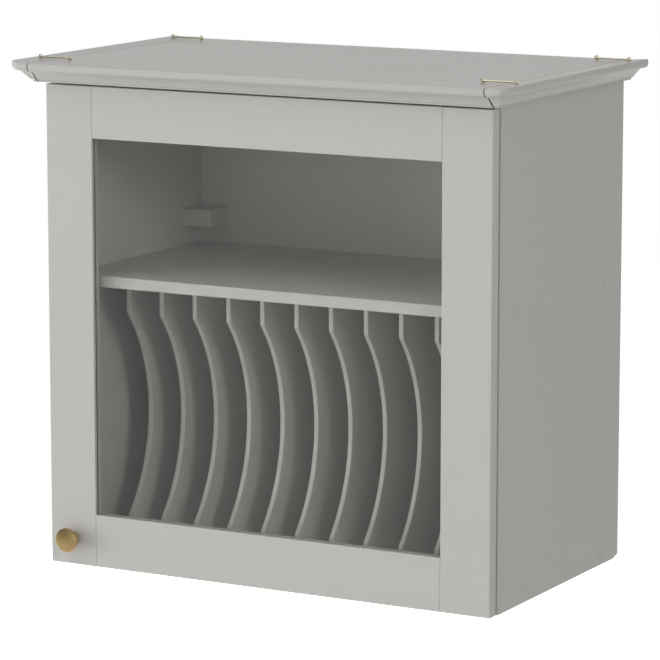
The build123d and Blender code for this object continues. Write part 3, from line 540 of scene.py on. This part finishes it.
class CABINET_OT_paint_door(bpy.types.Operator):
    """Paint the door frame and its glazing beads"""

    bl_idname = "cabinet.paint_door"
    bl_label = "Paint door"

    def execute(self, context):
        paint = context.scene.cabinet_paint
        # Painted light: the door's paint is a lighter copy of the carcass's, for its well-lit front
        board = painted_board("door_satin_paint_with_painted_light", paint, paint.door)
        dress(board, "door_left_stile", "door_right_stile", "door_top_rail", "door_bottom_rail")
        dress(board, *named("glazing_bead"))
        return {"FINISHED"}


class CABINET_OT_glaze_door(bpy.types.Operator):
    """Give the pane its glass and the door its soft pads"""

    bl_idname = "cabinet.glaze_door"
    bl_label = "Glaze door"

    def execute(self, context):
        dress(clear_pane("clear_glass", context.scene.cabinet_glass.tint), "glass_pane")
        pads = soft_rubber("clear_pads", dark=(0.62, 0.62, 0.59), light=(0.74, 0.74, 0.71), rough=0.3)
        dress(pads, "door_bumpers")
        return {"FINISHED"}


class CABINET_OT_finish_hinges(bpy.types.Operator):
    """Give the hinges their bright plating"""

    bl_idname = "cabinet.finish_hinges"
    bl_label = "Finish hinges"

    def execute(self, context):
        metal = context.scene.cabinet_metal
        plating = plated_metal("plated_steel", metal.steel, metal.brushed, *HINGE_PLATING)
        dress(plating, *named("upper_hinge", "lower_hinge", "hinge_plates"))
        return {"FINISHED"}


class CABINET_OT_finish_fastenings(bpy.types.Operator):
    """Finish the hidden screws, cams, dowels and pins, the brackets, covers and caps"""

    bl_idname = "cabinet.finish_fastenings"
    bl_label = "Finish fastenings"

    def execute(self, context):
        metal = context.scene.cabinet_metal
        steel = plated_metal("pin_steel", metal.steel, metal.brushed, *PLAIN_STEEL)
        dress(steel, "carcass_screws", "cam_bolts", "locating_pins")
        pressed = plated_metal("bracket_steel", metal.steel, metal.brushed, *PRESSED_STEEL)
        dress(pressed, "left_wall_bracket", "right_wall_bracket")
        dress(plated_metal("cast_zinc", metal.zinc, metal.brushed, *CAST_ZINC), "cam_locks")
        beech = bare_beech("bare_beech", dark=(0.42, 0.26, 0.13), light=(0.66, 0.46, 0.27), rough=0.6)
        dress(beech, "dowels", "crown_dowels")
        plastic = moulded_plastic("moulded_caps", context.scene.cabinet_paint.caps, rough=0.5)
        dress(plastic, "screw_caps", "left_bracket_cover", "right_bracket_cover")
        return {"FINISHED"}


class CABINET_OT_finish_hooks(bpy.types.Operator):
    """Give the wire hooks and their screw eyes a warm plating"""

    bl_idname = "cabinet.finish_hooks"
    bl_label = "Finish hooks"

    def execute(self, context):
        metal = context.scene.cabinet_metal
        wire = plated_metal("plated_wire", metal.wire, metal.brushed, *DRAWN_WIRE)
        dress(wire, "screw_eyes", *named("hook_"))
        return {"FINISHED"}


def midway(first, second):
    """The number between two numbers."""
    return (first + second) / 2


def select_only(piece):
    """Selects one piece and nothing else."""
    bpy.ops.object.select_all(action="DESELECT")
    piece.select_set(True)
    bpy.context.view_layer.objects.active = piece


def start_cylinder(sides, radius, depth, top=0.0):
    """A cylinder that hangs from a height, from which a turned piece is shaped."""
    bpy.ops.object.select_all(action="DESELECT")
    bpy.ops.mesh.primitive_cylinder_add(
        vertices=sides, radius=radius, depth=depth, location=(0, 0, top - depth / 2)
    )
    bpy.ops.object.transform_apply(location=True)
    return bpy.context.object


def pick_faces(piece, way):
    """Goes into edit mode with only those faces selected that look up, or down."""
    bpy.ops.object.mode_set(mode="EDIT")
    bpy.ops.mesh.select_mode(type="FACE")
    bpy.ops.mesh.select_all(action="DESELECT")
    bpy.ops.object.mode_set(mode="OBJECT")
    for face in piece.data.polygons:
        face.select = face.normal.z * way > 0.5
    bpy.ops.object.mode_set(mode="EDIT")


def drop_faces(depth, spread):
    """Extrudes the selected faces down, and makes their new edge wider or narrower."""
    bpy.ops.mesh.extrude_region_move(TRANSFORM_OT_translate={"value": (0, 0, -depth)})
    bpy.ops.transform.resize(value=(spread, spread, 1))


def finish_piece(piece, name, metal):
    """Leaves a piece's place in its mesh, and gives it smooth shading, a name and a metal."""
    bpy.ops.object.transform_apply(location=True, rotation=True, scale=True)
    bpy.ops.object.shade_smooth_by_angle(angle=SMOOTH_ANGLE)
    piece.name = name
    piece.data.name = name
    piece.data.materials.clear()
    piece.data.materials.append(metal)


def cut_cross(screw, top, width, slot, depth):
    """Cuts two tapered slots across a screw's head, down from its top."""
    for size_x, size_y in ((width, slot), (slot, width)):
        bpy.ops.mesh.primitive_cube_add(
            size=1, location=(0, 0, top), scale=(size_x, size_y, depth * 2)
        )
        cutter = bpy.context.object
        bpy.ops.object.transform_apply(location=True, scale=True)
        pick_faces(cutter, DOWN)
        bpy.ops.transform.resize(value=(RECESS_FOOT, RECESS_FOOT, 1))
        bpy.ops.object.mode_set(mode="OBJECT")
        select_only(screw)
        cut = screw.modifiers.new("cross", "BOOLEAN")
        cut.operation = "DIFFERENCE"
        cut.solver = "EXACT"
        cut.object = cutter
        bpy.ops.object.modifier_apply(modifier=cut.name)
        bpy.data.objects.remove(cutter)


def cross_head_screw(head, rise, shank, depth, screws, sunk=False):
    """A pointed screw at the origin, its head towards Z: it stands on Z = 0, or is sunk under it."""
    top = 0 if sunk else rise
    screw = start_cylinder(SCREW_SIDES, head, rise, top)
    if sunk:
        pick_faces(screw, DOWN)
        bpy.ops.transform.resize(value=(shank / head, shank / head, 1))
    else:
        pick_faces(screw, UP)
        bpy.ops.mesh.bevel(offset=rise * HEAD_ROUND, segments=4)
        pick_faces(screw, DOWN)
        bpy.ops.mesh.inset(thickness=head - shank)
    point = shank * POINT_LENGTH
    drop_faces(depth - point - (rise if sunk else 0), 1)
    drop_faces(point, TIP)
    bpy.ops.object.mode_set(mode="OBJECT")
    recess = min(screws.slot_depth, rise + shank)
    cut_cross(screw, top, head * RECESS_REACH, screws.slot_width, recess)
    return screw


def drive(name, node, body, screw, seats, metal):
    """Copies a screw to each seat, a place and the way that its head faces, as one piece."""
    driven = []
    for place, facing in seats:
        select_only(screw)
        bpy.ops.object.duplicate(linked=False)
        copy = bpy.context.object
        copy.location = place
        copy.rotation_euler = Vector(facing).to_track_quat("Z", "Y").to_euler()
        driven.append(copy)
    for copy in driven:
        copy.select_set(True)
    bpy.context.view_layer.objects.active = driven[0]
    if len(driven) > 1:
        bpy.ops.object.join()
    piece = bpy.context.object
    finish_piece(piece, name, metal)
    bpy.data.objects.remove(screw)
    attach(piece, body)
    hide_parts(node)


def quarter_turn(steps):
    """The angles of a quarter of a circle in equal steps, without its start."""
    return [radians(90 * step / steps) for step in range(1, steps + 1)]


def knob_profile(shape, reach):
    """The knob's outline from its foot to the edge of its face, as radius and height."""
    face_edge, face_radius = reach - shape.dome, shape.disc - shape.edge_round
    flare_end = face_edge - shape.rim
    waist = [
        (shape.neck + (shape.foot - shape.neck) * (1 - sin(turn)),
         shape.foot_height + (shape.neck_height - shape.foot_height) * (1 - cos(turn)))
        for turn in quarter_turn(4)
    ]
    flare = [
        (shape.neck + (shape.disc - shape.neck) * (1 - cos(turn)),
         shape.neck_height + (flare_end - shape.neck_height) * sin(turn))
        for turn in quarter_turn(9)
    ]
    rim = [
        (face_radius + shape.edge_round * cos(turn), face_edge - shape.edge_round * (1 - sin(turn)))
        for turn in (0, *quarter_turn(4))
    ]
    return waist + flare + rim


class CABINET_OT_turn_knob(bpy.types.Operator):
    """Turn the brass knob: a foot, a waisted neck and a flat disc with a low dome"""

    bl_idname = "cabinet.turn_knob"
    bl_label = "Turn knob"

    def execute(self, context):
        metal = context.scene.cabinet_metal
        shape = context.scene.cabinet_knob
        low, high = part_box("knob")
        reach = high.y - low.y
        knob = start_cylinder(KNOB_SIDES, shape.foot, shape.foot_height)
        pick_faces(knob, DOWN)
        radius, height = shape.foot, shape.foot_height
        for next_radius, next_height in knob_profile(shape, reach):
            drop_faces(next_height - height, next_radius / radius)
            radius, height = next_radius, next_height
        face_radius = shape.disc - shape.edge_round
        for inward in DOME_RINGS:
            bpy.ops.mesh.inset(thickness=radius - face_radius * inward)
            next_height = reach - shape.dome * inward ** 2
            bpy.ops.transform.translate(value=(0, 0, height - next_height))
            radius, height = face_radius * inward, next_height
        bpy.ops.object.mode_set(mode="OBJECT")
        edge = knob.modifiers.new("rim_round", "BEVEL")
        edge.limit_method = "ANGLE"
        edge.angle_limit = SHARP_ANGLE
        edge.width = shape.back_round
        edge.segments = 3
        bpy.ops.object.modifier_apply(modifier=edge.name)
        knob.rotation_euler = Vector(BACKWARDS).to_track_quat("Z", "X").to_euler()
        knob.location = (midway(low.x, high.x), high.y, midway(low.z, high.z))
        brass = turned_brass("turned_satin_brass", metal.brass, metal.brushed + 0.05)
        finish_piece(knob, "turned_knob", brass)
        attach(knob, "door")
        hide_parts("knob")
        return {"FINISHED"}


class CABINET_OT_drive_screws(bpy.types.Operator):
    """Put cross-head screws in the hinges, the knob, the brackets and the crown"""

    bl_idname = "cabinet.drive_screws"
    bl_label = "Drive screws"

    def execute(self, context):
        screws = context.scene.cabinet_screws
        metal = context.scene.cabinet_metal
        steel = plated_metal("screw_steel", metal.steel, metal.brushed, *PLAIN_STEEL)
        hinges = []
        for cup in ("upper_hinge_cup", "lower_hinge_cup"):
            low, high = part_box(cup)
            hinges.append(midway(low.z, high.z))

        low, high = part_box("cup_screws")
        screw = cross_head_screw(
            screws.cup_head, screws.cup_rise, screws.thin_shank, screws.cup_length, screws
        )
        seat_x, seat_y = midway(low.x, high.x), high.y - screws.cup_rise
        seats = [
            ((seat_x, seat_y, level + way * screws.cup_spacing / 2), BACKWARDS)
            for level in hinges for way in (-1, 1)
        ]
        drive("hinge_cup_screws", "cup_screws", "door", screw, seats, steel)

        low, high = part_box("hinge_screws")
        screw = cross_head_screw(
            screws.plate_head, screws.pan_rise, screws.plain_shank, screws.plate_length, screws
        )
        seat_x, seat_y = high.x - screws.plate_length, low.y + screws.plate_head
        seats = [
            ((seat_x, seat_y, level + way * screws.plate_spacing / 2), LEFTWARDS)
            for level in hinges for way in (-1, 1)
        ]
        drive("hinge_plate_screws", "hinge_screws", "cabinet", screw, seats, steel)
        screw = cross_head_screw(
            screws.arm_head, screws.pan_rise, screws.thick_shank, screws.arm_length, screws
        )
        seat_x, seat_y = low.x + screws.pan_rise, high.y - screws.arm_head
        seats = [((seat_x, seat_y, level), LEFTWARDS) for level in hinges]
        drive("hinge_arm_screws", "hinge_screws", "cabinet", screw, seats, steel)

        low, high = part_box("knob_screw")
        depth = high.y - screws.low_rise - low.y
        screw = cross_head_screw(screws.knob_head, screws.low_rise, screws.plain_shank, depth, screws)
        seat = (midway(low.x, high.x), high.y - screws.low_rise, midway(low.z, high.z))
        drive("knob_fixing_screw", "knob_screw", "door", screw, [(seat, BACKWARDS)], steel)

        low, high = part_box("bracket_screws")
        screw = cross_head_screw(
            screws.bracket_head, screws.low_rise, screws.thin_shank, screws.bracket_length, screws
        )
        level = midway(low.z, high.z)
        left, right = low.x + screws.bracket_length, high.x - screws.bracket_length
        seats = [
            ((side_x, side_y, level), facing)
            for side_x, facing in ((left, RIGHTWARDS), (right, LEFTWARDS))
            for side_y in (low.y + screws.bracket_head, high.y - screws.bracket_head)
        ]
        drive("wall_bracket_screws", "bracket_screws", "cabinet", screw, seats, steel)

        low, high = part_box("crown_screws")
        screw = cross_head_screw(
            screws.crown_head, screws.crown_head - screws.thick_shank, screws.thick_shank,
            high.z - low.z, screws, sunk=True,
        )
        seats = [
            ((side_x, side_y, low.z), DOWNWARDS)
            for side_x in (low.x + screws.crown_head, high.x - screws.crown_head)
            for side_y in (low.y + screws.crown_head, high.y - screws.crown_head)
        ]
        drive("crown_fixing_screws", "crown_screws", "cabinet", screw, seats, steel)
        return {"FINISHED"}


def lamp(name, watts, azimuth, rise=0.0, away=6.0, wide=3.0, shine=True):
    """A soft square lamp that looks at the middle of the cabinet, unseen by the camera.

    Its azimuth is in degrees from the front, to the right, and its rise is over the middle.
    """
    low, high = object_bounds()
    middle = (low + high) / 2
    turn = radians(azimuth)
    place = middle + Vector((sin(turn) * away, -cos(turn) * away, rise))
    bpy.ops.object.light_add(type="AREA", location=place)
    made = bpy.context.object
    made.name = name
    made.rotation_euler = (place - middle).to_track_quat("Z", "Y").to_euler()
    made.visible_camera = False
    made.visible_glossy = shine
    made.data.size = wide
    made.data.energy = watts


def straight_rays(finish):
    """The camera's rays, also those through the pane, and those that a shiny surface turns.

    Neither counts after a matt bounce, so that the white room behind the cabinet doesn't light it.
    """
    depth = finish.ray("Diffuse Depth")
    straight = 1 - finish.node("ShaderNodeMath", {0: depth, 1: 1.0}, operation="MINIMUM")
    seen = finish.ray("Is Camera Ray") + finish.ray("Is Transmission Ray") * straight
    shiny = finish.ray("Is Glossy Ray") * straight * (1 - seen)
    return seen, shiny


def light_room(world, room, gloss, behind):
    """Even light on the cabinet, white behind it, and a dim room in front for shiny surfaces."""
    world.use_nodes = True
    finish = Finish(world.node_tree)
    seen, shiny = straight_rays(finish)
    direction = finish.node("ShaderNodeTexCoord", {}, out="Generated")
    around = finish.ramp(finish.along(direction, "Y"), ROOM_FRONT, ROOM_BEHIND, gloss, behind)
    strength = seen + shiny * around + (1 - seen - shiny) * room
    sky = finish.node("ShaderNodeBackground", {"Color": WHITE, "Strength": strength})
    finish.node("ShaderNodeOutputWorld", {"Surface": sky})


def pale_floor(name, lift):
    """A pale matt floor that looks white and keeps the cabinet's shadow."""
    material, finish, place = new_finish(name)
    speck = finish.noise(place, FLOOR_SPECK, detail=2.0)
    tone = finish.mix(speck, (0.80, 0.80, 0.79, 1), (0.84, 0.84, 0.83, 1))
    matt = finish.node("ShaderNodeBsdfDiffuse", {"Color": tone})
    seen, shiny = straight_rays(finish)
    behind = finish.ramp(finish.along(place, "Y"), FLOOR_FRONT, FLOOR_BEHIND, 0.0, 1.0)
    lit = (seen + shiny * behind) * lift
    glow = finish.node("ShaderNodeEmission", {"Color": WHITE, "Strength": lit})
    floor = finish.node("ShaderNodeAddShader", {0: matt, 1: glow})
    finish.node("ShaderNodeOutputMaterial", {"Surface": floor})
    return material


class CABINET_OT_build_studio(bpy.types.Operator):
    """Lay the floor, hang the lamps and place the camera"""

    bl_idname = "cabinet.build_studio"
    bl_label = "Build studio"

    def execute(self, context):
        studio = context.scene.cabinet_studio
        lamp("left_lamp", studio.graze, azimuth=-75, shine=False)
        lamp("front_left_lamp", studio.wash, azimuth=-50, shine=False)
        lamp("front_lamp", studio.front, azimuth=0)
        lamp("rear_lamp", studio.rear, azimuth=-155, shine=False)
        lamp("small_lamp", studio.key, azimuth=58, rise=0.906, away=2.965, wide=0.65)
        lamp("top_lamp", studio.top, azimuth=-25, rise=2.4, away=2.0, wide=1.6)
        context.scene.world = bpy.data.worlds.new("studio_room")
        light_room(context.scene.world, studio.room, studio.gloss, studio.behind)
        bpy.ops.mesh.primitive_plane_add(size=FLOOR_SIZE, location=(0, 0, -studio.floor_drop))
        floor = context.object
        floor.name = "studio_floor"
        bpy.ops.object.transform_apply(location=True)
        floor.data.materials.append(pale_floor("pale_floor", studio.floor_lift))
        floor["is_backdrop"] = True
        bpy.ops.object.camera_add(location=studio.camera_place, rotation=studio.camera_turn)
        camera = context.object
        camera.name = "studio_camera"
        camera.data.lens = studio.lens
        context.scene.camera = camera
        context.scene.view_settings.view_transform = "Standard"
        return {"FINISHED"}


class CABINET_PT_sidebar(bpy.types.Panel):
    """Finishes, screws and studio of the wall cabinet"""

    bl_idname = "CABINET_PT_sidebar"
    bl_label = "Wall cabinet"
    bl_space_type = "VIEW_3D"
    bl_region_type = "UI"
    bl_category = "Cabinet"

    def draw(self, context):
        for step in STEPS:
            self.layout.operator(step.bl_idname)


STEPS = (
    CABINET_OT_paint_carcass,
    CABINET_OT_paint_rack,
    CABINET_OT_paint_crown,
    CABINET_OT_paint_door,
    CABINET_OT_glaze_door,
    CABINET_OT_finish_hinges,
    CABINET_OT_finish_fastenings,
    CABINET_OT_finish_hooks,
    CABINET_OT_turn_knob,
    CABINET_OT_drive_screws,
    CABINET_OT_build_studio,
)
GROUPS = {
    "cabinet_paint": PaintSettings,
    "cabinet_metal": MetalSettings,
    "cabinet_glass": GlassSettings,
    "cabinet_knob": KnobSettings,
    "cabinet_screws": ScrewSettings,
    "cabinet_studio": StudioSettings,
}


def register():
    for made in (*GROUPS.values(), *STEPS, CABINET_PT_sidebar):
        bpy.utils.register_class(made)
    for name, group in GROUPS.items():
        setattr(bpy.types.Scene, name, PointerProperty(type=group))


def unregister():
    for name in GROUPS:
        delattr(bpy.types.Scene, name)
    for made in reversed((*GROUPS.values(), *STEPS, CABINET_PT_sidebar)):
        bpy.utils.unregister_class(made)


def main():
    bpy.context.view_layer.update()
    register()
    for step in STEPS:
        space, name = step.bl_idname.split(".")
        getattr(getattr(bpy.ops, space), name)()


if __name__ == "__main__":
    main()
